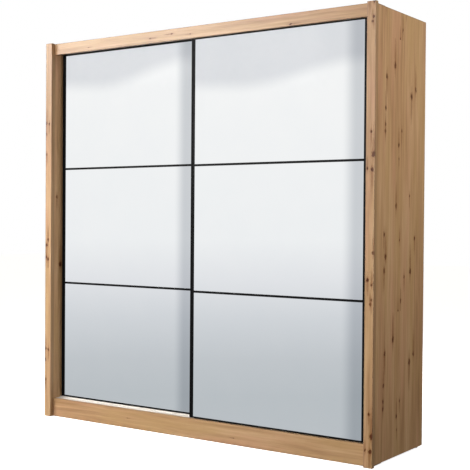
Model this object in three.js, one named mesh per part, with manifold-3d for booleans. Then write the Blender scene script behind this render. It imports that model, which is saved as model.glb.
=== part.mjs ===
// Sliding door wardrobe: a two-bay carcass behind a proud front frame, with two mirrored
// doors that hang from a double top track and pass one behind the other.
//
// Millimetres. X runs to the right, Y from the front frame's face to the wall, Z up from the
// floor. Inside this file X and Y start at the frame's front left corner. The exported group is
// moved so that the origin is the centre of the footprint.
import * as THREE from 'three';
import { mergeVertices } from 'three/addons/utils/BufferGeometryUtils.js';
import Module from 'manifold-3d';

const wasm = await Module();
wasm.setup();

// ---------------------------------------------------------------- driving dimensions
const wardrobe = { width: 2030, depth: 555, height: 2100 };
const board = 16;

// Front frame: two posts and their reveals, a fascia above and a plinth below.
const frame = { postWidth: 44, postDepth: 22, recess: 26, fasciaDepth: 60.5, plinthHeight: 101 };
const frameTop = wardrobe.height - 2;
const revealBack = 128;

// Carcass boards stop short of the floor and of the frame's top.
const carcass = { bottom: 11, top: 2089, floorLevel: 92, shelfTop: 1760, shelfFront: 150 };
const backPanel = { front: 540, thickness: 3, grooveDepth: 8, grooveClearance: 0.5, inset: 1 };
const joiner = { flange: 1.75, web: 2.2, width: 24 };
const partitionFront = 130;
const rearPlinthFront = 523;

// Clothes rails hang under the hat shelves in flanged sockets.
const rail = { radius: 12.5, wall: 1.2, drop: 60, depth: 327 };
const socket = { flangeRadius: 24, flange: 3, bore: 12.8, collarRadius: 15.5, length: 15 };

// Doors: the front door closes the right bay, the rear door the left one.
const door = { width: 990, depth: 26, height: 1932, endGap: 8.5 };
const frontDoor = { face: 35, bottom: 103.5 };
const rearDoor = { face: 81, bottom: 108.5 };
const stile = { width: 20, chamfer: 1.5, lip: 4, step: 1.5, lipWidth: 9, pocket: 8, pocketBack: 18.5 };
const railProfile = { bottomLip: 6.5, topLip: 5, web: 2.5, flange: 40 };
const divider = { width: 11, proud: 3, web: 1.5 };
const glass = { front: 4.25, back: 8 };
const backing = { front: 8.25, back: 18.25 };
const fitGap = 0.25;

// Running gear: each door has two hangers with a wheel each, and two guides at the bottom.
const hanger = { inset: 120, width: 50, thickness: 3, below: 62, above: 8 };
const axle = { radius: 3, headRadius: 4.5, head: 1.5 };
const wheel = { radius: 9, bore: 3.4, width: 8, bevel: 1, faceFromPlate: 3.25, runningGap: 0.3 };
const guide = { inset: 60, width: 40, thickness: 4, below: 8.5, above: 30 };

// Tracks: the doors' hangers and guides run in slots between the lips.
const topTrack = { front: 44, back: 128, bottom: 2046, lip: 2, web: 2, plate: 2.5, middleWeb: 85 };
const bottomTrack = { wall: 1.5, doorClearance: 2.5 };
const frontTrackSpan = [43, 78.5];
const rearTrackSpan = [79, 126];
const slot = { before: 1.25, after: 1.25 };

const roundSegments = 32;

// ---------------------------------------------------------------- derived positions
const clearLeft = frame.postWidth;
const clearRight = wardrobe.width - frame.postWidth;
const innerLeft = board;
const innerRight = wardrobe.width - board;
const middle = wardrobe.width / 2;
const plinthBack = frame.recess + board;
const fasciaBottom = frameTop - frame.fasciaDepth;
const topPanelBottom = carcass.top - board;
const bottomPanelBottom = carcass.floorLevel - board;
const backFace = backPanel.front + backPanel.thickness;
const insideBack = backPanel.front - joiner.flange - fitGap;
const lipTop = topTrack.bottom + topTrack.lip;
const wheelCentre = lipTop + wheel.radius + wheel.runningGap;
const hangerBack = door.depth + fitGap + hanger.thickness;
const guideBack = door.depth + fitGap + guide.thickness;

// ---------------------------------------------------------------- materials
function finish(colour, roughness, metalness) {
  return new THREE.MeshStandardMaterial({ color: colour, roughness, metalness });
}
const oak = finish(0xc9a37c, 0.6, 0);
const oakInside = finish(0xd2b08a, 0.65, 0);
const hardboard = finish(0xe2d9c8, 0.75, 0);
const mirrorGlass = finish(0xdfe3e6, 0.05, 1);
const blackProfile = finish(0x0c0c0d, 0.35, 0.6);
const silver = finish(0xc9ccd0, 0.35, 1);
const chrome = finish(0xd8dadc, 0.15, 1);
const zincSteel = finish(0xa9adb2, 0.4, 1);
const nylon = finish(0xe9e9e4, 0.5, 0);
const greyBoard = finish(0x55575a, 0.7, 0);

// ---------------------------------------------------------------- shape helpers
function piece(name, geometry, material) {
  const mesh = new THREE.Mesh(geometry, material);
  mesh.name = name;
  return mesh;
}

// A square-edged board, given as its limits along X, Y and Z.
function slab(name, [x0, x1], [y0, y1], [z0, z1], material) {
  const mesh = piece(name, new THREE.BoxGeometry(x1 - x0, y1 - y0, z1 - z0), material);
  mesh.position.set((x0 + x1) / 2, (y0 + y1) / 2, (z0 + z1) / 2);
  return mesh;
}

function extruded(outline, length) {
  const shape = new THREE.Shape(outline.map(([a, b]) => new THREE.Vector2(a, b)));
  return new THREE.ExtrudeGeometry(shape, { depth: length, bevelEnabled: false });
}

// An outline drawn in X and Y, raised from z0 to z1.
function raised(name, outline, [z0, z1], material) {
  const mesh = piece(name, extruded(outline, z1 - z0), material);
  mesh.position.z = z0;
  return mesh;
}

// An outline drawn in Y and Z, drawn out from x0 to x1.
function drawnOut(name, outline, [x0, x1], material) {
  const geometry = extruded(outline, x1 - x0);
  const yAxis = new THREE.Vector3(0, 1, 0);
  const zAxis = new THREE.Vector3(0, 0, 1);
  const xAxis = new THREE.Vector3(1, 0, 0);
  geometry.applyMatrix4(new THREE.Matrix4().makeBasis(yAxis, zAxis, xAxis));
  const mesh = piece(name, geometry, material);
  mesh.position.x = x0;
  return mesh;
}

// A profile of [radius, height] points turned about Y.
function turned(profile) {
  const points = profile.map(([radius, height]) => new THREE.Vector2(radius, height));
  return new THREE.LatheGeometry(points, roundSegments);
}

function solidOf(geometry) {
  const bare = geometry.clone();
  bare.deleteAttribute('normal');
  bare.deleteAttribute('uv');
  const merged = mergeVertices(bare, 1e-4);
  return new wasm.Manifold(new wasm.Mesh({
    numProp: 3,
    vertProperties: new Float32Array(merged.attributes.position.array),
    triVerts: new Uint32Array(merged.index.array),
  }));
}

function geometryOf(solid) {
  const mesh = solid.getMesh();
  const geometry = new THREE.BufferGeometry();
  geometry.setAttribute('position', new THREE.BufferAttribute(mesh.vertProperties, 3));
  geometry.setIndex(new THREE.BufferAttribute(mesh.triVerts, 1));
  geometry.computeVertexNormals();
  return geometry;
}

function joined(geometries) {
  const solids = geometries.map(solidOf);
  return geometryOf(solids.reduce((whole, next) => whole.add(next)));
}

// ---------------------------------------------------------------- front frame
function frontFrame() {
  const postY = [0, frame.postDepth];
  const boardY = [frame.recess, plinthBack];
  const clearSpan = [clearLeft, clearRight];
  const revealY = [frame.postDepth, revealBack];
  return [
    slab('left_front_post', [0, clearLeft], postY, [0, wardrobe.height], oak),
    slab('right_front_post', [clearRight, wardrobe.width], postY, [0, wardrobe.height], oak),
    slab('left_reveal', [innerLeft, clearLeft], revealY, [0, frameTop], oak),
    slab('right_reveal', [clearRight, innerRight], revealY, [0, frameTop], oak),
    slab('top_fascia', clearSpan, boardY, [fasciaBottom, frameTop], oak),
    slab('front_plinth', clearSpan, boardY, [0, frame.plinthHeight], oak),
  ];
}

// ---------------------------------------------------------------- carcass boards
// A side board with the groove that the back panel slides into.
function sideBoard(name, outerX, inward) {
  const inner = outerX + inward * board;
  const grooveBottom = inner - inward * backPanel.grooveDepth;
  const grooveFront = backPanel.front - backPanel.grooveClearance;
  const grooveBack = backFace + backPanel.grooveClearance;
  const outline = [
    [outerX, frame.postDepth],
    [inner, frame.postDepth],
    [inner, grooveFront],
    [grooveBottom, grooveFront],
    [grooveBottom, grooveBack],
    [inner, grooveBack],
    [inner, wardrobe.depth],
    [outerX, wardrobe.depth],
  ];
  return raised(name, outline, [carcass.bottom, carcass.top], oak);
}

// A top or bottom board, notched at its front corners around the reveals.
function levelBoard(name, zSpan) {
  const outline = [
    [clearLeft, plinthBack],
    [clearRight, plinthBack],
    [clearRight, revealBack],
    [innerRight, revealBack],
    [innerRight, backPanel.front],
    [innerLeft, backPanel.front],
    [innerLeft, revealBack],
    [clearLeft, revealBack],
  ];
  return raised(name, outline, zSpan, oakInside);
}

// The H-section strip that holds the two back panels together behind the partition.
function backJoiner() {
  const frontY = insideBack;
  const rearY = backFace + fitGap + joiner.flange;
  const flangeX = [middle - joiner.width / 2, middle + joiner.width / 2];
  const webX = [middle - joiner.web / 2, middle + joiner.web / 2];
  const outline = [
    [flangeX[0], frontY],
    [flangeX[1], frontY],
    [flangeX[1], frontY + joiner.flange],
    [webX[1], frontY + joiner.flange],
    [webX[1], rearY - joiner.flange],
    [flangeX[1], rearY - joiner.flange],
    [flangeX[1], rearY],
    [flangeX[0], rearY],
    [flangeX[0], rearY - joiner.flange],
    [webX[0], rearY - joiner.flange],
    [webX[0], frontY + joiner.flange],
    [flangeX[0], frontY + joiner.flange],
  ];
  return raised('back_joiner_strip', outline, [carcass.floorLevel, topPanelBottom], nylon);
}

function carcassBoards() {
  const partitionX = [middle - board / 2, middle + board / 2];
  const panelY = [backPanel.front, backFace];
  const panelZ = [bottomPanelBottom, carcass.top];
  const panelEdge = innerLeft - backPanel.grooveDepth + backPanel.inset;
  const seam = joiner.web / 2 + fitGap;
  const rearPlinthY = [rearPlinthFront, rearPlinthFront + board];
  return [
    sideBoard('left_side_panel', 0, 1),
    sideBoard('right_side_panel', wardrobe.width, -1),
    levelBoard('top_panel', [topPanelBottom, carcass.top]),
    levelBoard('bottom_panel', [bottomPanelBottom, carcass.floorLevel]),
    slab('centre_partition', partitionX, [partitionFront, insideBack],
      [carcass.floorLevel, topPanelBottom], oakInside),
    slab('rear_plinth', [innerLeft, innerRight], rearPlinthY, [0, bottomPanelBottom], oakInside),
    slab('centre_plinth', partitionX, [plinthBack, rearPlinthFront], [0, bottomPanelBottom], oakInside),
    slab('left_back_panel', [panelEdge, middle - seam], panelY, panelZ, hardboard),
    slab('right_back_panel', [middle + seam, wardrobe.width - panelEdge], panelY, panelZ, hardboard),
    backJoiner(),
  ];
}

// ---------------------------------------------------------------- shelves and clothes rails
function railSocket(name, wallX, inward) {
  const profile = [
    [0, 0],
    [socket.flangeRadius, 0],
    [socket.flangeRadius, socket.flange],
    [socket.collarRadius, socket.flange],
    [socket.collarRadius, socket.length],
    [socket.bore, socket.length],
    [socket.bore, socket.flange],
    [0, socket.flange],
  ];
  const mesh = piece(name, turned(profile).rotateZ(-inward * Math.PI / 2), chrome);
  mesh.position.set(wallX, rail.depth, carcass.shelfTop - board - rail.drop);
  return mesh;
}

function clothesRail(name, [x0, x1]) {
  const inner = rail.radius - rail.wall;
  const halfLength = (x1 - x0) / 2 - socket.flange - fitGap;
  const profile = [
    [inner, -halfLength],
    [rail.radius, -halfLength],
    [rail.radius, halfLength],
    [inner, halfLength],
    [inner, -halfLength],
  ];
  const mesh = piece(name, turned(profile).rotateZ(Math.PI / 2), chrome);
  mesh.position.set((x0 + x1) / 2, rail.depth, carcass.shelfTop - board - rail.drop);
  return mesh;
}

function bayFittings(side, [x0, x1]) {
  const shelfZ = [carcass.shelfTop - board, carcass.shelfTop];
  return [
    slab(`${side}_hat_shelf`, [x0, x1], [carcass.shelfFront, insideBack], shelfZ, oakInside),
    clothesRail(`${side}_clothes_rail`, [x0, x1]),
    railSocket(`${side}_rail_socket_left`, x0, 1),
    railSocket(`${side}_rail_socket_right`, x1, -1),
  ];
}

// ---------------------------------------------------------------- tracks
// Slot limits in Y for a part that stands behind a door's back.
function slotBehind(face, partBack) {
  return [face + door.depth + fitGap - slot.before, face + partBack + slot.after];
}

// An extrusion between the reveals, joined from bars given as limits along Y and Z.
function trackExtrusion(name, bars) {
  const length = clearRight - clearLeft;
  const solids = bars.map(([[y0, y1], [z0, z1]]) => (
    new THREE.BoxGeometry(length, y1 - y0, z1 - z0).translate(0, (y0 + y1) / 2, (z0 + z1) / 2)
  ));
  const mesh = piece(name, joined(solids), silver);
  mesh.position.x = middle;
  return mesh;
}

// The double top track: a plate, three webs, and a lip on each side of both slots.
function topTrackMesh() {
  const { front, back, bottom, web, plate, middleWeb } = topTrack;
  const frontSlot = slotBehind(frontDoor.face, hangerBack);
  const rearSlot = slotBehind(rearDoor.face, hangerBack);
  const full = [bottom, topPanelBottom];
  const lip = [bottom, lipTop];
  return trackExtrusion('top_track', [
    [[front, back], [topPanelBottom - plate, topPanelBottom]],
    [[front, front + web], full],
    [[middleWeb, middleWeb + web], full],
    [[back - web, back], full],
    [[front, frontSlot[0]], lip],
    [[frontSlot[1], middleWeb + web], lip],
    [[middleWeb, rearSlot[0]], lip],
    [[rearSlot[1], back], lip],
  ]);
}

// One bottom track: two hollow ribs on a base, with the door's guides running between them.
function bottomTrackMesh(name, [y0, y1], { face, bottom }) {
  const { wall, doorClearance } = bottomTrack;
  const base = carcass.floorLevel;
  const top = bottom - doorClearance;
  const [slotFront, slotBack] = slotBehind(face, guideBack);
  const ribBars = [[y0, slotFront], [slotBack, y1]].flatMap(([ribFront, ribBack]) => [
    [[ribFront, ribFront + wall], [base, top]],
    [[ribBack - wall, ribBack], [base, top]],
    [[ribFront, ribBack], [top - wall, top]],
  ]);
  return trackExtrusion(name, [[[y0, y1], [base, base + wall]], ...ribBars]);
}

// ---------------------------------------------------------------- doors
// A stile with a stepped, chamfered face and a pocket for the glass and its backing board.
function stileMesh(name, outerX, inward) {
  const section = [
    [0, stile.chamfer],
    [stile.chamfer, 0],
    [stile.lipWidth, 0],
    [stile.lipWidth + stile.step, stile.step],
    [stile.width, stile.step],
    [stile.width, stile.lip],
    [stile.pocket, stile.lip],
    [stile.pocket, stile.pocketBack],
    [stile.width, stile.pocketBack],
    [stile.width, door.depth],
    [0, door.depth],
  ];
  const outline = section.map(([across, back]) => [outerX + inward * across, back]);
  return raised(name, outline, [0, door.height], blackProfile);
}

// A rail across the door: a short lip in front of the glass and a tall flange behind.
function doorRail(name, edgeZ, inward, lip) {
  const section = [
    [0, 0],
    [door.depth, 0],
    [door.depth, railProfile.flange],
    [stile.pocketBack, railProfile.flange],
    [stile.pocketBack, railProfile.web],
    [stile.lip, railProfile.web],
    [stile.lip, lip],
    [stile.step, lip],
    [0, lip - stile.step],
  ];
  const outline = section.map(([back, rise]) => [back, edgeZ + inward * rise]);
  return drawnOut(name, outline, [stile.width, door.width - stile.width], blackProfile);
}

// A T-section divider: a flat cap over the joint and a web between the two panes.
function dividerMesh(name, centreZ) {
  const half = divider.width / 2;
  const web = divider.web / 2;
  const cap = stile.lip - divider.proud;
  const outline = [
    [cap, centreZ - half],
    [stile.lip, centreZ - half],
    [stile.lip, centreZ - web],
    [glass.back, centreZ - web],
    [glass.back, centreZ + web],
    [stile.lip, centreZ + web],
    [stile.lip, centreZ + half],
    [cap, centreZ + half],
  ];
  return drawnOut(name, outline, [stile.width, door.width - stile.width], blackProfile);
}

// A bent-up plate with the wheel's axle and its head, in one piece.
function hangerMesh(name, centreX, wheelZ) {
  const plateY = [door.depth + fitGap, hangerBack];
  const plateZ = [door.height - hanger.below, wheelZ + hanger.above];
  const wheelFace = plateY[0] - wheel.faceFromPlate - wheel.width - 1;
  const plate = new THREE.BoxGeometry(hanger.width, hanger.thickness, plateZ[1] - plateZ[0]);
  plate.translate(0, (plateY[0] + plateY[1]) / 2, (plateZ[0] + plateZ[1]) / 2);
  const shaft = turned([
    [0, wheelFace - axle.head],
    [axle.headRadius, wheelFace - axle.head],
    [axle.headRadius, wheelFace],
    [axle.radius, wheelFace],
    [axle.radius, plateY[0] + 1],
    [0, plateY[0] + 1],
  ]).translate(0, 0, wheelZ);
  const mesh = piece(name, joined([plate, shaft]), zincSteel);
  mesh.position.x = centreX;
  return mesh;
}

function wheelMesh(name, centreX, wheelZ) {
  const half = wheel.width / 2;
  const profile = [
    [wheel.bore, -half],
    [wheel.radius - wheel.bevel, -half],
    [wheel.radius, -half + wheel.bevel],
    [wheel.radius, half - wheel.bevel],
    [wheel.radius - wheel.bevel, half],
    [wheel.bore, half],
    [wheel.bore, -half],
  ];
  const mesh = piece(name, turned(profile), nylon);
  mesh.position.set(centreX, door.depth + fitGap - wheel.faceFromPlate - half, wheelZ);
  return mesh;
}

// Three equal panes between the rails' lips, and the two dividers over their joints.
function glazing(prefix) {
  const visible = door.height - railProfile.bottomLip - railProfile.topLip - 2 * divider.width;
  const pane = visible / 3;
  const lower = railProfile.bottomLip + pane + divider.width / 2;
  const upper = lower + pane + divider.width;
  const joint = divider.web / 2 + fitGap;
  const edge = railProfile.web + fitGap;
  const paneX = [stile.pocket + fitGap, door.width - stile.pocket - fitGap];
  const paneY = [glass.front, glass.back];
  const panes = {
    bottom: [edge, lower - joint],
    middle: [lower + joint, upper - joint],
    top: [upper + joint, door.height - edge],
  };
  const backingY = [backing.front, backing.back];
  return [
    ...Object.entries(panes).map(([place, zSpan]) => (
      slab(`${prefix}_mirror_${place}`, paneX, paneY, zSpan, mirrorGlass)
    )),
    dividerMesh(`${prefix}_divider_lower`, lower),
    dividerMesh(`${prefix}_divider_upper`, upper),
    slab(`${prefix}_backing_board`, paneX, backingY, [edge, door.height - edge], greyBoard),
  ];
}

function doorGroup(prefix, leftX, { face, bottom }) {
  const group = new THREE.Group();
  const wheelZ = wheelCentre - bottom;
  const guideY = [door.depth + fitGap, guideBack];
  group.add(
    stileMesh(`${prefix}_stile_left`, 0, 1),
    stileMesh(`${prefix}_stile_right`, door.width, -1),
    doorRail(`${prefix}_bottom_rail`, 0, 1, railProfile.bottomLip),
    doorRail(`${prefix}_top_rail`, door.height, -1, railProfile.topLip),
    ...glazing(prefix),
  );
  for (const [side, mirrored] of [['left', false], ['right', true]]) {
    const hangerX = mirrored ? door.width - hanger.inset : hanger.inset;
    const guideX = mirrored ? door.width - guide.inset : guide.inset;
    const guideSpan = [guideX - guide.width / 2, guideX + guide.width / 2];
    group.add(
      hangerMesh(`${prefix}_hanger_${side}`, hangerX, wheelZ),
      wheelMesh(`${prefix}_wheel_${side}`, hangerX, wheelZ),
      slab(`${prefix}_guide_${side}`, guideSpan, guideY, [-guide.below, guide.above], nylon),
    );
  }
  group.position.set(leftX, face, bottom);
  return group;
}

// ---------------------------------------------------------------- assembly
const wardrobeGroup = new THREE.Group();
wardrobeGroup.add(
  ...frontFrame(),
  ...carcassBoards(),
  ...bayFittings('left', [innerLeft, middle - board / 2]),
  ...bayFittings('right', [middle + board / 2, innerRight]),
  topTrackMesh(),
  bottomTrackMesh('front_bottom_track', frontTrackSpan, frontDoor),
  bottomTrackMesh('rear_bottom_track', rearTrackSpan, rearDoor),
  doorGroup('rear_door', clearLeft + door.endGap, rearDoor),
  doorGroup('front_door', clearRight - door.endGap - door.width, frontDoor),
);
wardrobeGroup.position.set(-middle, -wardrobe.depth / 2, 0);

export default wardrobeGroup;
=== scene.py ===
"""Looks of the sliding door wardrobe: a finish for every CAD node, small hardware, a studio and a camera.

Everything is in metres in the row frame: X to the right, Y towards the wall, Z up from the floor. The
hardware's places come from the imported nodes' boxes.
"""

import math
import random

import bmesh
import bpy
from mathutils import Matrix, Vector


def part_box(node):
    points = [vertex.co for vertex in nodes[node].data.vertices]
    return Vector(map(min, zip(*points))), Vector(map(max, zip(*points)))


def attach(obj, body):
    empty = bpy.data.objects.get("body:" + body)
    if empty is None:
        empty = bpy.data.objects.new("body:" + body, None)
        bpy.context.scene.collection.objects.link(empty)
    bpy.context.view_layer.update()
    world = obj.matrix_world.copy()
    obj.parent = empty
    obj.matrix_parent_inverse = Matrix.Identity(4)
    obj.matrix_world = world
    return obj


MM = 0.001
X, Y, Z = range(3)
DOORS = ("front_door", "rear_door")
SIDES = ("left", "right")

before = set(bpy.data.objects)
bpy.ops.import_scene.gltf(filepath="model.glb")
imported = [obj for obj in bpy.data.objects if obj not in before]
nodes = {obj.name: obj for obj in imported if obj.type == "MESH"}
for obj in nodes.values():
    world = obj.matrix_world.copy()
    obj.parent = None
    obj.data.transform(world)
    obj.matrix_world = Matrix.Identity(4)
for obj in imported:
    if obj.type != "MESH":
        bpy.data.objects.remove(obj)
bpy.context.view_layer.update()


# ---------------------------------------------------------------- shader helpers
def srgb(red, green, blue):
    """A colour given as 0 to 255 display values, as the linear colour that shaders take."""
    linear = []
    for value in (red, green, blue):
        share = value / 255
        linear.append(share / 12.92 if share <= 0.04045 else ((share + 0.055) / 1.055) ** 2.4)
    return (*linear, 1.0)


class Tree:
    """A node tree that starts empty, with short calls for the nodes that the finishes share."""

    def __init__(self, owner):
        owner.use_nodes = True
        self.owner = owner
        self.tree = owner.node_tree
        self.tree.nodes.clear()

    def add(self, kind, inputs, **settings):
        node = self.tree.nodes.new(kind)
        for name, value in settings.items():
            setattr(node, name, value)
        for name, value in inputs.items():
            self.feed(node.inputs[name], value)
        return node

    def feed(self, socket, value):
        if isinstance(value, bpy.types.NodeSocket):
            self.tree.links.new(value, socket)
        else:
            socket.default_value = value

    def maths(self, operation, *values):
        return self.add("ShaderNodeMath", dict(enumerate(values)), operation=operation).outputs[0]

    def vector(self, operation, *values):
        return self.add("ShaderNodeVectorMath", dict(enumerate(values)), operation=operation).outputs[0]

    def length(self, vector):
        return self.add("ShaderNodeVectorMath", {0: vector}, operation="LENGTH").outputs["Value"]

    def place(self):
        """The point's place in the object's own frame, which is the row frame at rest."""
        return self.add("ShaderNodeTexCoord", {}).outputs["Object"]

    def split(self, vector):
        return self.add("ShaderNodeSeparateXYZ", {0: vector}).outputs

    def join(self, x, y, z):
        return self.add("ShaderNodeCombineXYZ", {0: x, 1: y, 2: z}).outputs[0]

    def stretched(self, vector, scale, shift=(0, 0, 0)):
        return self.vector("MULTIPLY_ADD", vector, scale, shift)

    def noise(self, vector, scale=1.0, detail=2.0, roughness=0.5, distortion=0.0):
        inputs = {"Vector": vector, "Scale": scale, "Detail": detail}
        inputs.update({"Roughness": roughness, "Distortion": distortion})
        return self.add("ShaderNodeTexNoise", inputs).outputs[0]

    def span(self, value, start, end, low=0.0, high=1.0, shape="SMOOTHSTEP"):
        """low where value is start and high where it is end. shape says how it goes between them."""
        inputs = {"Value": value, "From Min": start, "From Max": end, "To Min": low, "To Max": high}
        return self.add("ShaderNodeMapRange", inputs, interpolation_type=shape).outputs[0]

    def mix(self, share, first, second, blend="MIX"):
        node = self.add("ShaderNodeMix", {}, data_type="RGBA", blend_type=blend)
        for socket, value in zip((node.inputs[0], node.inputs[6], node.inputs[7]), (share, first, second)):
            self.feed(socket, value)
        return node.outputs[2]

    def ramp(self, value, stops):
        """A colour ramp through (position, colour) stops."""
        node = self.add("ShaderNodeValToRGB", {0: value})
        elements = node.color_ramp.elements
        while len(elements) < len(stops):
            elements.new(0.5)
        for element, (position, colour) in zip(elements, stops):
            element.position = position
            element.color = colour
        return node.outputs[0]

    def bump(self, height, strength, depth):
        inputs = {"Strength": strength, "Distance": depth, "Height": height}
        return self.add("ShaderNodeBump", inputs).outputs[0]

    def finish(self, colour, roughness, normal, **values):
        """The principled surface. Values that are the same all over are set on its own sockets."""
        surface = self.add("ShaderNodeBsdfPrincipled", {})
        self.feed(surface.inputs["Base Color"], colour)
        self.feed(surface.inputs["Roughness"], roughness)
        self.feed(surface.inputs["Normal"], normal)
        for name, value in values.items():
            surface.inputs[name.replace("_", " ").title().replace("Ior", "IOR")].default_value = value
        self.add("ShaderNodeOutputMaterial", {"Surface": surface.outputs[0]})
        return self.owner


def new_material(name):
    return Tree(bpy.data.materials.new(name))


# ---------------------------------------------------------------- oak foil
OAK_DARK = srgb(168, 127, 88)
OAK_MIDDLE = srgb(195, 155, 113)
OAK_LIGHT = srgb(213, 177, 136)
OAK_PINK = srgb(204, 154, 121)
OAK_OCHRE = srgb(192, 156, 104)
KNOT_CORE = srgb(90, 44, 10)
KNOT_RIM = srgb(134, 84, 42)
EDGE_LINE = srgb(112, 92, 72)
OAK_SPECULAR = 0.2

# Scale of each layer of the figure, across and along the fibres, and the layers' shares of it.
BROAD_SCALE = (9, 1.1, 1)
STREAK_SCALE = (70, 2.2, 1)
FIBRE_SCALE = (420, 9.0, 1)
PORE_SCALE = (1300, 34, 1)
TINT_SCALE = (13, 1.6, 1)
RAGGED_SCALE = (260, 90, 1)
BROAD_SHARE = 0.34
STREAK_SHARE = 0.48
FIBRE_SHARE = 0.18

# A knot's length over its width. KNOT_BLEND is how far near knots melt together, and FAR is a distance past
# every knot, both in knot radii. A flame is dark grain drawn out along the fibres from a knot, more to one
# end than to the other: FLAME_SCALE is on its distances across and along, and FLAME_LEAN is its shift along.
# KNOTS_PER_BOARD is for the boards that have no list.
KNOT_LENGTH = 1.4
KNOT_BLEND = 0.4
FLAME_SCALE = (1.2, 0.22, 1)
FLAME_LEAN = 0.7
FAR = 50.0
KNOTS_PER_BOARD = 7

DECOR_REPEAT = 1.27
EDGE_LINE_INSET = 1.0 * MM

# Knots of the faces that are seen most: their place in the face's plane and their radius. A place is
# (across, up) on an upright board and (along, up) on a level one. These lists weren't all chosen by hand:
# most places on the side panels and the posts are what a scratch program worked out from spots picked by
# eye in the photograph, and the side panels' radii were scaled by a script.
SIDE_KNOTS = (
    (-0.071, 1.836, 0.0086), (-0.158, 1.774, 0.0069), (0.162, 1.745, 0.0071), (0.115, 1.709, 0.0086),
    (-0.168, 1.630, 0.0060), (-0.169, 1.557, 0.0057), (-0.170, 1.525, 0.0060), (0.008, 1.538, 0.0046),
    (-0.017, 1.965, 0.0041), (0.009, 2.004, 0.0039), (-0.048, 1.185, 0.0069), (-0.174, 1.053, 0.0057),
    (-0.007, 1.025, 0.0041), (0.164, 1.032, 0.0055), (-0.158, 0.950, 0.0086), (-0.170, 0.887, 0.0069),
    (0.117, 0.874, 0.0085), (0.048, 0.852, 0.0046), (0.011, 0.741, 0.0048), (0.101, 1.235, 0.0041),
    (-0.025, 1.469, 0.0058), (-0.021, 1.406, 0.0036),
)
RIGHT_POST_KNOTS = (
    (1.010, 1.415, 0.0082), (0.997, 1.515, 0.0044), (0.979, 1.350, 0.0040), (1.003, 1.346, 0.0062),
    (1.013, 0.971, 0.0060), (0.984, 0.849, 0.0052), (1.005, 0.826, 0.0044), (1.004, 0.759, 0.0042),
    (0.999, 0.739, 0.0042),
)
LEFT_POST_KNOTS = (
    (-1.009, 1.652, 0.0052), (-0.988, 1.648, 0.0045), (-1.011, 1.591, 0.0056), (-1.008, 1.477, 0.0045),
    (-0.994, 0.996, 0.0052), (-1.005, 0.967, 0.0068), (-1.009, 0.899, 0.0060), (-0.993, 0.888, 0.0050),
)
LEFT_REVEAL_KNOTS = ((-0.202, 0.858, 0.0090), (-0.232, 1.240, 0.0050))
FASCIA_KNOTS = (
    (-0.290, 2.062, 0.0034), (-0.149, 2.072, 0.0035), (0.560, 2.046, 0.0036), (-0.030, 2.060, 0.0022),
    (-0.720, 2.056, 0.0020),
)
PLINTH_KNOTS = ((-0.430, 0.052, 0.0016), (0.250, 0.034, 0.0018))


def oak(name, box, grain, face, knots, shift):
    """Knotty oak foil on one board.

    grain is the axis that the fibres follow, face the (axis, place) of the face that the knots are listed
    on, and shift picks another part of the printed decor.
    """
    t = new_material(name)
    place = t.place()
    parts = t.split(place)
    first, second = (axis for axis in (X, Y, Z) if axis != grain)
    across = t.maths("ADD", parts[first], parts[second])
    along = parts[grain]
    sway = t.noise(t.join(across, along, shift), 1.8, 2.0)
    bent = t.maths("MULTIPLY_ADD", sway, 0.03, across)
    sheet = t.join(bent, along, shift)

    broad = t.noise(t.stretched(sheet, BROAD_SCALE), 1.0, 2.0, 0.5, 0.3)
    streak = t.noise(t.stretched(sheet, STREAK_SCALE), 1.0, 3.0, 0.6)
    fibre = t.noise(t.stretched(sheet, FIBRE_SCALE), 1.0, 2.0, 0.6)
    pores = t.span(t.noise(t.stretched(sheet, PORE_SCALE), 1.0, 1.0), 0.60, 0.72)

    figure = t.maths("MULTIPLY_ADD", streak, STREAK_SHARE, t.maths("MULTIPLY", broad, BROAD_SHARE))
    figure = t.maths("MULTIPLY_ADD", fibre, FIBRE_SHARE, figure)
    colour = t.ramp(figure, ((0.36, OAK_DARK), (0.50, OAK_MIDDLE), (0.64, OAK_LIGHT)))
    tint = t.noise(t.stretched(sheet, TINT_SCALE, (3, 7, 0)), 1.0, 2.0, 0.6)
    colour = t.mix(t.span(tint, 0.50, 0.68, 0.0, 0.45), colour, OAK_PINK)
    colour = t.mix(t.span(tint, 0.50, 0.32, 0.0, 0.45), colour, OAK_OCHRE)
    colour = t.mix(t.maths("MULTIPLY", pores, 0.22), colour, OAK_DARK)

    near, flame = knot_distances(t, across, along, grain, face, knots)
    ragged = t.noise(t.stretched(t.join(across, along, shift), RAGGED_SCALE), 1.0, 2.0)
    near = t.maths("ADD", near, t.maths("MULTIPLY_ADD", ragged, 2.4, -1.2))
    flame = t.maths("ADD", flame, t.maths("MULTIPLY_ADD", ragged, 1.8, -0.9))
    depth = t.span(t.noise(t.join(across, along, shift), 9.0, 1.0), 0.38, 0.55, 0.70, 1.0)
    colour = t.mix(t.maths("MULTIPLY", t.span(flame, 2.4, 0.3), 0.60), colour, KNOT_RIM)
    colour = t.mix(t.maths("MULTIPLY", t.span(near, 2.4, 0.9), 0.40), colour, KNOT_RIM)
    core = t.maths("MULTIPLY", t.span(near, 1.45, 0.75), depth)
    colour = t.mix(core, colour, KNOT_CORE)
    band = edge_line(t, parts, box, face[0])
    colour = t.mix(t.maths("MULTIPLY", band, 0.50), colour, EDGE_LINE)

    height = t.maths("ADD", fibre, t.maths("MULTIPLY_ADD", pores, -0.7, t.maths("MULTIPLY", core, -0.6)))
    roughness = t.maths("MULTIPLY_ADD", fibre, 0.12, 0.34)
    return t.finish(colour, roughness, t.bump(height, 0.15, 0.0003), specular_ior_level=OAK_SPECULAR)


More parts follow.
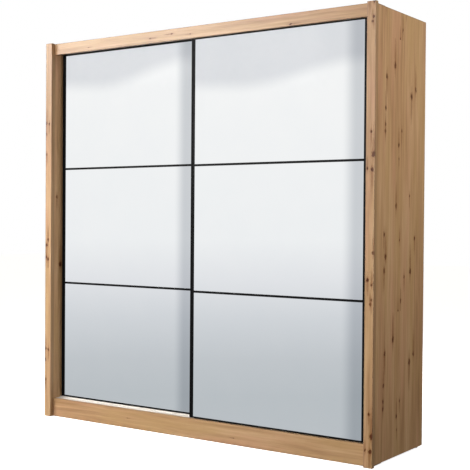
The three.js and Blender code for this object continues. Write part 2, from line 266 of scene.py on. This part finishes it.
def knot_distances(t, across, along, grain, face, knots):
    """Distance in knot radii to the nearest knot, and to the nearest flame of dark grain.

    The decor repeats up the upright boards, and so do their knots.
    """
    upright = grain == Z
    if upright:
        start = min(up for _, up, _ in knots) - 0.05
        along = t.maths("WRAP", along, start + DECOR_REPEAT, start)
    sheet = t.join(across, along, 0)
    nearest = FAR
    flame = FAR
    for number, (over, up, radius) in enumerate(knots):
        if upright:
            spot = (over + face[1], start + (up - start) % DECOR_REPEAT, 0)
        else:
            spot = (up + face[1], over, 0)
        scale = (1 / radius, 1 / (KNOT_LENGTH * radius), 1)
        offset = t.vector("MULTIPLY", t.vector("SUBTRACT", sheet, spot), scale)
        nearest = t.maths("SMOOTH_MIN", nearest, t.length(offset), KNOT_BLEND)
        lean = FLAME_LEAN if number % 2 else -FLAME_LEAN
        drawn_out = t.vector("MULTIPLY_ADD", offset, FLAME_SCALE, (0, lean, 0))
        flame = t.maths("MINIMUM", flame, t.length(drawn_out))
    return nearest, flame


def edge_line(t, parts, box, thickness_axis):
    """1 along a thin line just inside the board's edges, 0 elsewhere."""
    nearest = 1.0
    for axis in (X, Y, Z):
        if axis != thickness_axis:
            middle = (box[0][axis] + box[1][axis]) / 2
            half = (box[1][axis] - box[0][axis]) / 2
            from_middle = t.maths("ABSOLUTE", t.maths("SUBTRACT", parts[axis], middle))
            nearest = t.maths("MINIMUM", nearest, t.maths("SUBTRACT", half, from_middle))
    off_line = t.maths("ABSOLUTE", t.maths("SUBTRACT", nearest, EDGE_LINE_INSET))
    return t.span(off_line, 2.0 * MM, 0.4 * MM)


def scattered_knots(box, grain, face_axis, seed):
    """Knots at random places on a board that has no list of its own."""
    chance = random.Random(seed)
    over_axis = next(axis for axis in (X, Y, Z) if axis not in (grain, face_axis))
    knots = []
    for _ in range(KNOTS_PER_BOARD):
        over = chance.uniform(box[0][over_axis], box[1][over_axis])
        up = chance.uniform(0, DECOR_REPEAT) + box[0][grain]
        knots.append((over, up, chance.uniform(0.0035, 0.0075)))
    if grain == Z:
        return knots
    return [(up, over, radius) for over, up, radius in knots]


# ---------------------------------------------------------------- other finishes
def mirror_glass():
    """Silvered float glass: a trace of waviness and of haze."""
    t = new_material("mirror")
    place = t.place()
    waves = t.noise(t.stretched(place, (1.1, 1.1, 0.7)), 1.0, 1.0)
    haze = t.noise(place, 7.0, 3.0)
    colour = t.mix(haze, srgb(244, 246, 247), srgb(248, 249, 249))
    roughness = t.maths("MULTIPLY_ADD", haze, 0.010, 0.006)
    return t.finish(colour, roughness, t.bump(waves, 0.04, 0.004), metallic=1.0)


def black_aluminium():
    """Black anodised profile with a fine drawn grain."""
    t = new_material("black_profile")
    place = t.place()
    drawn = t.noise(t.stretched(place, (900, 900, 14)), 1.0, 2.0)
    patch = t.noise(place, 9.0, 2.0)
    colour = t.mix(patch, srgb(5, 5, 6), srgb(11, 11, 12))
    roughness = t.maths("MULTIPLY_ADD", drawn, 0.14, 0.40)
    return t.finish(colour, roughness, t.bump(drawn, 0.12, 0.0002), specular_ior_level=0.05)


def metal(name, low, high, roughness, grain, depth, metallic):
    """A metal between two colours, its grain given as a scale per axis and the grain's depth."""
    t = new_material(name)
    place = t.place()
    lines = t.noise(t.stretched(place, grain), 1.0, 3.0, 0.6)
    stain = t.noise(place, 14.0, 3.0)
    colour = t.mix(stain, low, high)
    shine = t.maths("MULTIPLY_ADD", lines, 0.16, t.maths("MULTIPLY_ADD", stain, 0.08, roughness))
    return t.finish(colour, shine, t.bump(lines, 0.15, depth), metallic=metallic)


def zinc_plate():
    """Zinc plated steel with its spangle."""
    t = new_material("zinc_steel")
    place = t.place()
    cells = t.add("ShaderNodeTexVoronoi", {"Vector": place, "Scale": 260.0}).outputs["Color"]
    tone = t.split(cells)[0]
    colour = t.mix(tone, srgb(176, 178, 180), srgb(205, 206, 206))
    roughness = t.maths("MULTIPLY_ADD", tone, 0.18, 0.30)
    return t.finish(colour, roughness, t.bump(tone, 0.08, 0.0001), metallic=1.0)


def moulded_plastic(name, low, high):
    """Moulded plastic with a fine spark eroded texture."""
    t = new_material(name)
    place = t.place()
    grain = t.noise(place, 1900.0, 2.0)
    patch = t.noise(place, 22.0, 2.0)
    colour = t.mix(patch, low, high)
    roughness = t.maths("MULTIPLY_ADD", grain, 0.18, 0.36)
    return t.finish(colour, roughness, t.bump(grain, 0.12, 0.0002))


def brush_pile():
    """Black mohair pile."""
    t = new_material("brush_pile")
    place = t.place()
    hairs = t.noise(t.stretched(place, (60, 60, 2600)), 1.0, 2.0)
    colour = t.mix(hairs, srgb(9, 9, 10), srgb(34, 33, 33))
    roughness = t.maths("MULTIPLY_ADD", hairs, 0.10, 0.82)
    return t.finish(colour, roughness, t.bump(hairs, 0.5, 0.0006), specular_ior_level=0.15)


def back_hardboard(box):
    """3 mm hardboard: cream lacquer towards the inside, raw brown fibres towards the wall."""
    t = new_material("back_board")
    place = t.place()
    parts = t.split(place)
    fibres = t.noise(place, 320.0, 4.0, 0.65)
    clouds = t.noise(place, 5.0, 3.0)
    flakes = t.noise(place, 90.0, 3.0, 0.7)
    raw = t.mix(t.span(fibres, 0.35, 0.65), srgb(134, 99, 68), srgb(184, 148, 110))
    raw = t.mix(t.span(flakes, 0.42, 0.75, 0.0, 0.32), raw, srgb(112, 80, 54))
    raw = t.mix(t.span(clouds, 0.35, 0.65, 0.0, 0.16), raw, srgb(184, 150, 114))
    lacquer = t.mix(clouds, srgb(214, 203, 182), srgb(224, 215, 196))
    middle = (box[0][1] + box[1][1]) / 2
    behind = t.span(parts[1], middle - 0.2 * MM, middle + 0.2 * MM)
    colour = t.mix(behind, lacquer, raw)
    roughness = t.maths("MULTIPLY_ADD", fibres, 0.2, t.span(behind, 0, 1, 0.42, 0.68))
    return t.finish(colour, roughness, t.bump(fibres, 0.2, 0.0003), specular_ior_level=0.3)


def door_board():
    """Dark grey foil on the board behind the mirrors."""
    t = new_material("door_board")
    place = t.place()
    grain = t.noise(place, 1100.0, 2.0)
    clouds = t.noise(place, 6.0, 3.0)
    colour = t.mix(clouds, srgb(72, 75, 78), srgb(82, 85, 88))
    roughness = t.maths("MULTIPLY_ADD", grain, 0.12, 0.46)
    return t.finish(colour, roughness, t.bump(grain, 0.1, 0.0002))


# ---------------------------------------------------------------- CAD nodes
def dress(name, material):
    """Gives a CAD node its finish."""
    mesh = nodes[name].data
    mesh.materials.clear()
    mesh.materials.append(material)


def ease_edges(name, width):
    """Rounds a board's edges by a small radius."""
    board = nodes[name]
    weld = board.modifiers.new("weld", "WELD")
    weld.merge_threshold = 0.02 * MM
    bevel = board.modifiers.new("ease", "BEVEL")
    bevel.width = width
    bevel.segments = 2
    bevel.limit_method = "ANGLE"
    bevel.angle_limit = math.radians(40)
    bevel.harden_normals = True


# Each oak board: the axis that its fibres follow, the axis that its main face looks along and which way it
# looks, and the face's knots, which are random where there is no list.
OAK_BOARDS = (
    ("left_front_post", Z, Y, -1, LEFT_POST_KNOTS),
    ("right_front_post", Z, Y, -1, RIGHT_POST_KNOTS),
    ("left_reveal", Z, X, 1, LEFT_REVEAL_KNOTS),
    ("right_reveal", Z, X, -1, None),
    ("top_fascia", X, Y, -1, FASCIA_KNOTS),
    ("front_plinth", X, Y, -1, PLINTH_KNOTS),
    ("left_side_panel", Z, X, -1, SIDE_KNOTS),
    ("right_side_panel", Z, X, 1, SIDE_KNOTS),
    ("top_panel", X, Z, 1, None),
    ("bottom_panel", X, Z, 1, None),
    ("left_hat_shelf", X, Z, 1, None),
    ("right_hat_shelf", X, Z, 1, None),
    ("centre_partition", Z, X, 1, None),
    ("centre_plinth", Y, X, 1, None),
    ("rear_plinth", X, Y, 1, None),
)
BOARD_EASING = 0.5 * MM
PROFILE_EASING = 0.3 * MM


def dress_oak(name, grain, face_axis, outward, knots, seed):
    """Oak foil on a board. outward is -1 or 1 along face_axis."""
    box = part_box(name)
    place = box[1][face_axis] if outward > 0 else box[0][face_axis]
    if knots is None:
        knots = scattered_knots(box, grain, face_axis, seed)
    dress(name, oak("oak." + name, box, grain, (face_axis, place), knots, seed * 3.7))
    ease_edges(name, BOARD_EASING)


def dress_carcass():
    for seed, board in enumerate(OAK_BOARDS, 1):
        dress_oak(*board, seed)
    dress("back_joiner_strip", PLASTIC)
    for side in SIDES:
        dress(f"{side}_back_panel", back_hardboard(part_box(f"{side}_back_panel")))
        dress(f"{side}_clothes_rail", CHROME)
        for end in SIDES:
            dress(f"{side}_rail_socket_{end}", CHROME)
    for name in ("top_track", "front_bottom_track", "rear_bottom_track"):
        dress(name, SILVER)


def dress_door(door):
    for name in ("stile_left", "stile_right", "top_rail", "bottom_rail", "divider_upper", "divider_lower"):
        dress(f"{door}_{name}", BLACK)
        ease_edges(f"{door}_{name}", PROFILE_EASING)
    for name in ("mirror_top", "mirror_middle", "mirror_bottom"):
        dress(f"{door}_{name}", MIRROR)
    dress(f"{door}_backing_board", BOARD)
    for side in SIDES:
        dress(f"{door}_hanger_{side}", ZINC)
        dress(f"{door}_guide_{side}", PLASTIC)
        dress(f"{door}_wheel_{side}", PLASTIC)


MIRROR = mirror_glass()
BLACK = black_aluminium()
SILVER = metal("silver_track", srgb(220, 214, 206), srgb(230, 225, 218), 0.40, (9, 700, 700), 0.0002, 0.25)
CHROME = metal("chrome", srgb(208, 210, 212), srgb(226, 227, 228), 0.05, (40, 300, 300), 0.00005, 1.0)
ZINC = zinc_plate()
PLASTIC = moulded_plastic("white_plastic", srgb(222, 222, 216), srgb(234, 234, 230))
PILE = brush_pile()
BOARD = door_board()

dress_carcass()
for each_door in DOORS:
    dress_door(each_door)


# ---------------------------------------------------------------- small hardware
# Profiles are (radius, height) pairs in millimetres, from the foot up to the middle of the top.
SCREW = ((3.6, 0.0), (3.6, 0.5), (3.2, 1.2), (2.5, 1.75), (2.0, 1.95), (1.5, 2.0), (0.9, 2.0), (0.3, 2.0))
NAIL = ((1.6, 0.0), (1.55, 0.25), (1.1, 0.45), (0.3, 0.5))
PIN = ((3.6, 0.0), (3.6, 0.9), (2.5, 1.0), (2.5, 8.2), (2.2, 8.8), (0.3, 9.0))
# The screws' cross recess, in millimetres: how far its arms reach, half their width, and their depth.
CROSS_REACH = 2.1
CROSS_HALF = 0.52
CROSS_DEPTH = 1.1
SCREW_ASIDE = 0.014
HANGER_SCREW_DROP = 0.030
GUIDE_SCREW_DROP = 0.009
SOCKET_SCREW_RISE = 19.6 * MM
SOCKET_FLANGE = 3 * MM
PIN_INSET = 0.05
NAIL_INSET = 0.008
NAIL_PITCH = 0.14
NAIL_SEGMENTS = 12
BRUSH_END_GAP = 0.012
BRUSH_BACKING = 1.2 * MM
BRUSH_BACKING_HALF = 3.4 * MM
BRUSH_ROOT = 1.0 * MM
BRUSH_PITCH = 3.2 * MM
BRUSH_REACH = 5.6 * MM
# A tuft of the brush: its half thickness, half its height as a share of the pitch, and its tip's share.
TUFT_HALF = 2.2 * MM
TUFT_FILL = 0.46
TUFT_TAPER = 0.55
SMOOTH_ANGLE = 35


def turned(shape, profile, place, axis, cross=False, segments=24):
    """Adds a turned solid that stands on place and rises along axis, with or without a cross recess."""
    turn = Vector(axis).to_track_quat("Z", "Y").to_matrix()
    rings = []
    for radius, height in profile:
        ring = []
        for step in range(segments):
            angle = 2 * math.pi * step / segments
            spot = Vector((radius * math.cos(angle), radius * math.sin(angle), height))
            if cross and radius < CROSS_REACH and min(abs(spot.x), abs(spot.y)) < CROSS_HALF:
                spot.z -= CROSS_DEPTH
            ring.append(shape.verts.new(Vector(place) + turn @ (spot * MM)))
        rings.append(ring)
    for low, high in zip(rings, rings[1:]):
        for step in range(segments):
            after = (step + 1) % segments
            shape.faces.new((low[step], low[after], high[after], high[step]))
    shape.faces.new(rings[-1])
    shape.faces.new(reversed(rings[0]))


def tapered(shape, foot, tip, half, tip_share):
    """Adds a tapered block from foot to tip, half being its half width in Y and Z at the foot."""
    ends = []
    for centre, share in ((foot, 1.0), (tip, tip_share)):
        corners = ((-1, -1), (1, -1), (1, 1), (-1, 1))
        spots = [Vector((0, y * half[0] * share, z * half[1] * share)) + centre for y, z in corners]
        ends.append([shape.verts.new(spot) for spot in spots])
    shape.faces.new(reversed(ends[0]))
    shape.faces.new(ends[1])
    for step in range(4):
        after = (step + 1) % 4
        shape.faces.new((ends[0][step], ends[0][after], ends[1][after], ends[1][step]))


def add_piece(name, shape, material, body):
    """Turns a shape into a piece that rides on a body."""
    bmesh.ops.recalc_face_normals(shape, faces=shape.faces)
    mesh = bpy.data.meshes.new(name)
    shape.to_mesh(mesh)
    shape.free()
    mesh.shade_smooth()
    mesh.set_sharp_from_angle(angle=math.radians(SMOOTH_ANGLE))
    mesh.materials.append(material)
    piece = bpy.data.objects.new(name, mesh)
    bpy.context.scene.collection.objects.link(piece)
    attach(piece, body)


def brush_seal(door, side, chance):
    """A pile strip on the outer face of a stile, against dust and knocks."""
    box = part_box(f"{door}_stile_{side}")
    out = 1 if side == "right" else -1
    face = Vector((box[1].x if out > 0 else box[0].x, (box[0].y + box[1].y) / 2, 0))
    low = box[0].z + BRUSH_END_GAP
    high = box[1].z - BRUSH_END_GAP
    middle = face + Vector((0, 0, (low + high) / 2))
    shape = bmesh.new()
    backing_half = (BRUSH_BACKING_HALF, (high - low) / 2)
    tapered(shape, middle, middle + Vector((out * BRUSH_BACKING, 0, 0)), backing_half, 0.999)
    count = int((high - low) / BRUSH_PITCH)
    for step in range(count):
        foot = face + Vector((out * BRUSH_ROOT, 0, low + (step + 0.5) * BRUSH_PITCH))
        lean = Vector((0, chance.uniform(-0.5, 0.5) * MM, chance.uniform(-0.7, 0.7) * MM))
        reach = BRUSH_REACH - chance.uniform(0, 0.8) * MM
        tip = foot + lean + Vector((out * (reach - BRUSH_ROOT), 0, 0))
        tapered(shape, foot, tip, (TUFT_HALF, BRUSH_PITCH * TUFT_FILL), TUFT_TAPER)
    add_piece(f"{door}_brush_{side}", shape, PILE, door)


def door_screws(door, side):
    """Two screws through a hanger and two through a guide, seen from behind the door."""
    shape = bmesh.new()
    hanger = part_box(f"{door}_hanger_{side}")
    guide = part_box(f"{door}_guide_{side}")
    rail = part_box(f"{door}_top_rail")
    for node, up in ((hanger, rail[1].z - HANGER_SCREW_DROP), (guide, guide[1].z - GUIDE_SCREW_DROP)):
        middle = (node[0].x + node[1].x) / 2
        for aside in (-SCREW_ASIDE, SCREW_ASIDE):
            turned(shape, SCREW, (middle + aside, node[1].y, up), (0, 1, 0), cross=True)
    add_piece(f"{door}_screws_{side}", shape, ZINC, door)


def socket_screws(side, end):
    """Two screws through a rail socket's flange, above and below the rail."""
    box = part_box(f"{side}_rail_socket_{end}")
    middle = (box[0] + box[1]) / 2
    inward = 1 if end == "left" else -1
    face = box[0].x + SOCKET_FLANGE if inward > 0 else box[1].x - SOCKET_FLANGE
    shape = bmesh.new()
    for up in (-SOCKET_SCREW_RISE, SOCKET_SCREW_RISE):
        turned(shape, SCREW, (face, middle.y, middle.z + up), (inward, 0, 0), cross=True)
    add_piece(f"{side}_socket_screws_{end}", shape, ZINC, "carcass")


def shelf_pins(side):
    """Four pins that carry a hat shelf."""
    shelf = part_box(f"{side}_hat_shelf")
    radius = PIN[0][0] * MM
    shape = bmesh.new()
    for wall, inward in ((shelf[0].x, 1), (shelf[1].x, -1)):
        for back in (shelf[0].y + PIN_INSET, shelf[1].y - PIN_INSET):
            turned(shape, PIN, (wall, back, shelf[0].z - radius), (inward, 0, 0))
    add_piece(f"{side}_shelf_pins", shape, CHROME, "carcass")


def back_nails(side):
    """Nail heads along a back panel's top, bottom and outer edge."""
    low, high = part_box(f"{side}_back_panel")
    outer = low.x + NAIL_INSET if side == "left" else high.x - NAIL_INSET
    shape = bmesh.new()
    across = round((high.x - low.x) / NAIL_PITCH)
    for step in range(across):
        spot = low.x + (step + 0.5) * (high.x - low.x) / across
        for up in (low.z + NAIL_INSET, high.z - NAIL_INSET):
            turned(shape, NAIL, (spot, high.y, up), (0, 1, 0), segments=NAIL_SEGMENTS)
    upward = round((high.z - low.z) / NAIL_PITCH)
    for step in range(upward):
        up = low.z + (step + 0.5) * (high.z - low.z) / upward
        turned(shape, NAIL, (outer, high.y, up), (0, 1, 0), segments=NAIL_SEGMENTS)
    add_piece(f"{side}_back_nails", shape, ZINC, "carcass")


def add_hardware():
    chance = random.Random(21)
    for side in SIDES:
        for door in DOORS:
            brush_seal(door, side, chance)
            door_screws(door, side)
        for end in SIDES:
            socket_screws(side, end)
        shelf_pins(side)
        back_nails(side)


add_hardware()


# ---------------------------------------------------------------- camera
CAMERA_PLACE = Vector((3.025, -4.440, 1.115))
CAMERA_YAW = math.radians(36.043)
CAMERA_PITCH = math.radians(-0.864)
CAMERA_ROLL = math.radians(0.372)
CAMERA_LENS = 77.83
CAMERA_SHIFT = 0.0957


def make_camera():
    data = bpy.data.cameras.new("camera")
    data.sensor_width = 36
    data.lens = CAMERA_LENS
    data.shift_x = CAMERA_SHIFT
    data.clip_end = 100
    camera = bpy.data.objects.new("camera", data)
    level = Matrix.Rotation(CAMERA_YAW, 4, "Z") @ Matrix.Rotation(math.pi / 2 + CAMERA_PITCH, 4, "X")
    camera.matrix_world = Matrix.Translation(CAMERA_PLACE) @ level @ Matrix.Rotation(CAMERA_ROLL, 4, "Z")
    bpy.context.scene.collection.objects.link(camera)
    bpy.context.scene.camera = camera


# ---------------------------------------------------------------- studio
BACKDROP_DISTANCE = 9.0
BACKDROP_STRENGTH = 1.07
# Outline of the backdrop from above, in its own frame: a long wall and one that closes its right end.
BACKDROP_PLAN = ((-5.6, 0.0), (6.0, 0.0), (6.0, 9.2))
BACKDROP_HEIGHTS = (-9.0, 5.0)
CEILING_LOW = 2.30
CEILING_HIGH = 2.55
FLOOR_GREY = srgb(186, 191, 195)
CEILING_GREY = srgb(220, 221, 224)
SHADOW_GREY = srgb(216, 218, 221)
# Height above the floor and the room's colour there, both read off the mirrors in the photograph.
ROOM_COLOURS = (
    (-0.45, FLOOR_GREY), (-0.13, srgb(193, 197, 201)), (0.23, srgb(208, 211, 215)),
    (0.58, srgb(226, 227, 230)), (0.94, srgb(238, 239, 240)), (2.20, srgb(244, 244, 244)),
)
FLOOR_GLOW = 0.87
FLOOR_HALF = 20.0
LAMP_COLOUR = (1.0, 0.985, 0.965)
AMBIENT_COLOUR = (1.0, 0.90, 0.78, 1.0)
AMBIENT_STRENGTH = 0.125
SKY_SHEEN = 0.60


def mirror_plane(door):
    """Y of the front face of a door's mirrors."""
    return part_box(f"{door}_mirror_middle")[0].y


def backdrop_frame():
    """The backdrop's matrix: square to the line of sight that the mirrors turn back from the camera."""
    eye = Vector((CAMERA_PLACE.x, 2 * mirror_plane("front_door") - CAMERA_PLACE.y, CAMERA_PLACE.z))
    sight = Vector((-math.sin(CAMERA_YAW), -math.cos(CAMERA_YAW), 0))
    across = Vector((math.cos(CAMERA_YAW), -math.sin(CAMERA_YAW), 0))
    centre = eye + sight * BACKDROP_DISTANCE
    centre.z = 0
    matrix = Matrix((across, Vector((0, 0, 1)), -sight)).transposed().to_4x4()
    matrix.translation = centre
    return matrix


def across_backdrop(matrix, point, door):
    """How far across the backdrop a door's mirror shows what lies on the camera's line past a point."""
    plane = mirror_plane(door)
    line = point - CAMERA_PLACE
    touch = CAMERA_PLACE + line * ((plane - CAMERA_PLACE.y) / line.y)
    back = Vector((line.x, -line.y, line.z))
    normal = matrix.col[2].to_3d()
    centre = matrix.translation
    share = (centre - touch).dot(normal) / back.dot(normal)
    return (touch + back * share - centre).dot(matrix.col[0].to_3d())


def zone_on_backdrop(matrix, door):
    """The left and right end of what a door's mirrors show on the backdrop."""
    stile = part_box(f"{door}_stile_left")
    left = Vector((stile[1].x, mirror_plane(door), 1))
    right = Vector((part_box(f"{door}_stile_right")[0].x, mirror_plane(door), 1))
    if door == "rear_door":
        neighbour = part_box("front_door_stile_left")
        right = Vector((neighbour[0].x, neighbour[0].y, 1))
    return across_backdrop(matrix, left, door), across_backdrop(matrix, right, door)


def backdrop_material(matrix):
    """The bright room that the mirrors look into: grey ceiling, white wall and blue grey floor.

    share runs from 0 to 1 across what one door's mirrors show of it. Near 1 there is a soft upright shadow.
    """
    t = new_material("backdrop")
    across, up, _ = t.split(t.place())
    rear = zone_on_backdrop(matrix, "rear_door")
    front = zone_on_backdrop(matrix, "front_door")
    in_rear = t.maths("LESS_THAN", across, (rear[1] + front[0]) / 2)
    zone_start = t.span(in_rear, 0, 1, front[0], rear[0])
    zone_width = t.span(in_rear, 0, 1, front[1] - front[0], rear[1] - rear[0])
    share = t.maths("DIVIDE", t.maths("SUBTRACT", across, zone_start), zone_width)

    ceiling = t.span(share, 0.25, 1.0, CEILING_LOW, CEILING_HIGH)
    above = t.maths("SUBTRACT", up, ceiling)
    low, high = ROOM_COLOURS[0][0], ROOM_COLOURS[-1][0]
    height = t.span(up, low, high, shape="LINEAR")
    stops = [((level - low) / (high - low), colour) for level, colour in ROOM_COLOURS]
    wall = t.ramp(height, stops)
    colour = t.mix(t.span(above, -0.09, 0.08), wall, CEILING_GREY)
    fade = t.maths("MULTIPLY", t.span(share, 0.865, 0.96), t.span(share, 1.06, 0.985))
    colour = t.mix(fade, colour, SHADOW_GREY, "MULTIPLY")
    shine = t.add("ShaderNodeEmission", {"Color": colour, "Strength": BACKDROP_STRENGTH})
    t.add("ShaderNodeOutputMaterial", {"Surface": shine.outputs[0]})
    return t.owner


def staged_mesh(name, corners, faces, matrix, material):
    """A studio sheet that isn't part of the object."""
    mesh = bpy.data.meshes.new(name)
    mesh.from_pydata(corners, [], faces)
    mesh.materials.append(material)
    sheet = bpy.data.objects.new(name, mesh)
    sheet.matrix_world = matrix
    bpy.context.scene.collection.objects.link(sheet)
    return sheet


def floor_material():
    """Pale studio floor with a light of its own, so that it stays near white."""
    t = new_material("floor")
    clouds = t.noise(t.place(), 0.7, 2.0)
    colour = t.mix(clouds, srgb(236, 236, 235), srgb(240, 240, 239))
    surface = t.add("ShaderNodeBsdfPrincipled", {"Base Color": colour, "Roughness": 0.9})
    surface.inputs["Emission Color"].default_value = (1, 1, 1, 1)
    surface.inputs["Emission Strength"].default_value = FLOOR_GLOW
    t.add("ShaderNodeOutputMaterial", {"Surface": surface.outputs[0]})
    return t.owner


def lamp(name, place, target, size, power, gives="DIFFUSE", spread=180):
    """A soft light that gives either shading or sheen. size is its width and height, spread in degrees."""
    data = bpy.data.lights.new(name, "AREA")
    data.spread = math.radians(spread)
    data.shape = "RECTANGLE"
    data.size, data.size_y = size
    data.energy = power
    data.color = LAMP_COLOUR
    light = bpy.data.objects.new(name, data)
    light.location = place
    light.rotation_euler = (Vector(target) - Vector(place)).to_track_quat("-Z", "Y").to_euler()
    light.visible_camera = False
    light.visible_diffuse = gives == "DIFFUSE"
    light.visible_glossy = gives == "GLOSSY"
    bpy.context.scene.collection.objects.link(light)


def world_light():
    """White behind the object, an even soft light from all round, and a brighter sky for what shines."""
    world = bpy.data.worlds.new("studio")
    bpy.context.scene.world = world
    t = Tree(world)
    path = t.add("ShaderNodeLightPath", {})
    backing = t.add("ShaderNodeBackground", {"Color": (1, 1, 1, 1), "Strength": 1.0})
    up = t.split(t.add("ShaderNodeTexCoord", {}).outputs["Generated"])[2]
    sky = t.span(up, 0.0, 0.35, 0.0, SKY_SHEEN - AMBIENT_STRENGTH)
    extra = t.maths("MULTIPLY", sky, path.outputs["Is Glossy Ray"])
    light = t.maths("ADD", extra, AMBIENT_STRENGTH)
    ambient = t.add("ShaderNodeBackground", {"Color": AMBIENT_COLOUR, "Strength": light})
    seen = {0: path.outputs["Is Camera Ray"], 1: ambient.outputs[0], 2: backing.outputs[0]}
    t.add("ShaderNodeOutputWorld", {"Surface": t.add("ShaderNodeMixShader", seen).outputs[0]})


def hide_from(sheet, *rays):
    """Takes a sheet out of these kinds of rays."""
    for kind in rays:
        setattr(sheet, f"visible_{kind}", False)


def make_backdrop():
    matrix = backdrop_frame()
    walls = [(across, up, towards) for across, towards in BACKDROP_PLAN for up in BACKDROP_HEIGHTS]
    wall_faces = [(0, 2, 3, 1), (2, 4, 5, 3)]
    backdrop = staged_mesh("backdrop", walls, wall_faces, matrix, backdrop_material(matrix))
    hide_from(backdrop, "camera", "diffuse", "shadow", "transmission")


def make_floor():
    corners = [(x * FLOOR_HALF, y * FLOOR_HALF, 0) for x, y in ((-1, -1), (1, -1), (1, 1), (-1, 1))]
    floor = staged_mesh("floor", corners, [(0, 1, 2, 3)], Matrix.Identity(4), floor_material())
    hide_from(floor, "glossy", "diffuse", "shadow")


def make_lamps():
    lamp("key", (-2.8, -3.9, 2.3), (-0.1, -0.25, 1.4), (3.2, 0.8), 86)
    lamp("key_sheen", (-3.0, -3.95, 2.85), (-0.3, -0.25, 2.0), (3.0, 0.8), 410, "GLOSSY")
    lamp("low", (-3.0, -3.0, 0.5), (-0.8, -0.25, 0.4), (1.0, 0.8), 35)
    lamp("front", (-0.1, -4.8, 1.9), (0.0, -0.25, 1.3), (1.2, 1.2), 104)
    lamp("right", (3.1, 0.0, 2.28), (1.0, 0.0, 1.2), (0.8, 0.8), 32)
    lamp("reveal_fill", (0.95, -2.3, 1.0), (-1.0, -0.22, 0.9), (0.4, 1.8), 0.75, spread=50)
    lamp("left", (-3.5, 0.3, 2.4), (-1.0, 0.0, 1.3), (0.8, 0.8), 40)
    lamp("back", (-0.8, 4.0, 3.0), (0.0, 0.27, 1.2), (1.2, 1.2), 110)


def make_studio():
    scene = bpy.context.scene
    scene.view_settings.view_transform = "Standard"
    scene.view_settings.look = "None"
    scene.cycles.use_denoising = True
    make_backdrop()
    make_floor()
    world_light()
    make_lamps()


make_camera()
make_studio()
# The front frame stands so near the doors that the mirrors would show it as a brown border.
for each_board in ("left_front_post", "left_reveal", "top_fascia"):
    hide_from(nodes[each_board], "glossy")
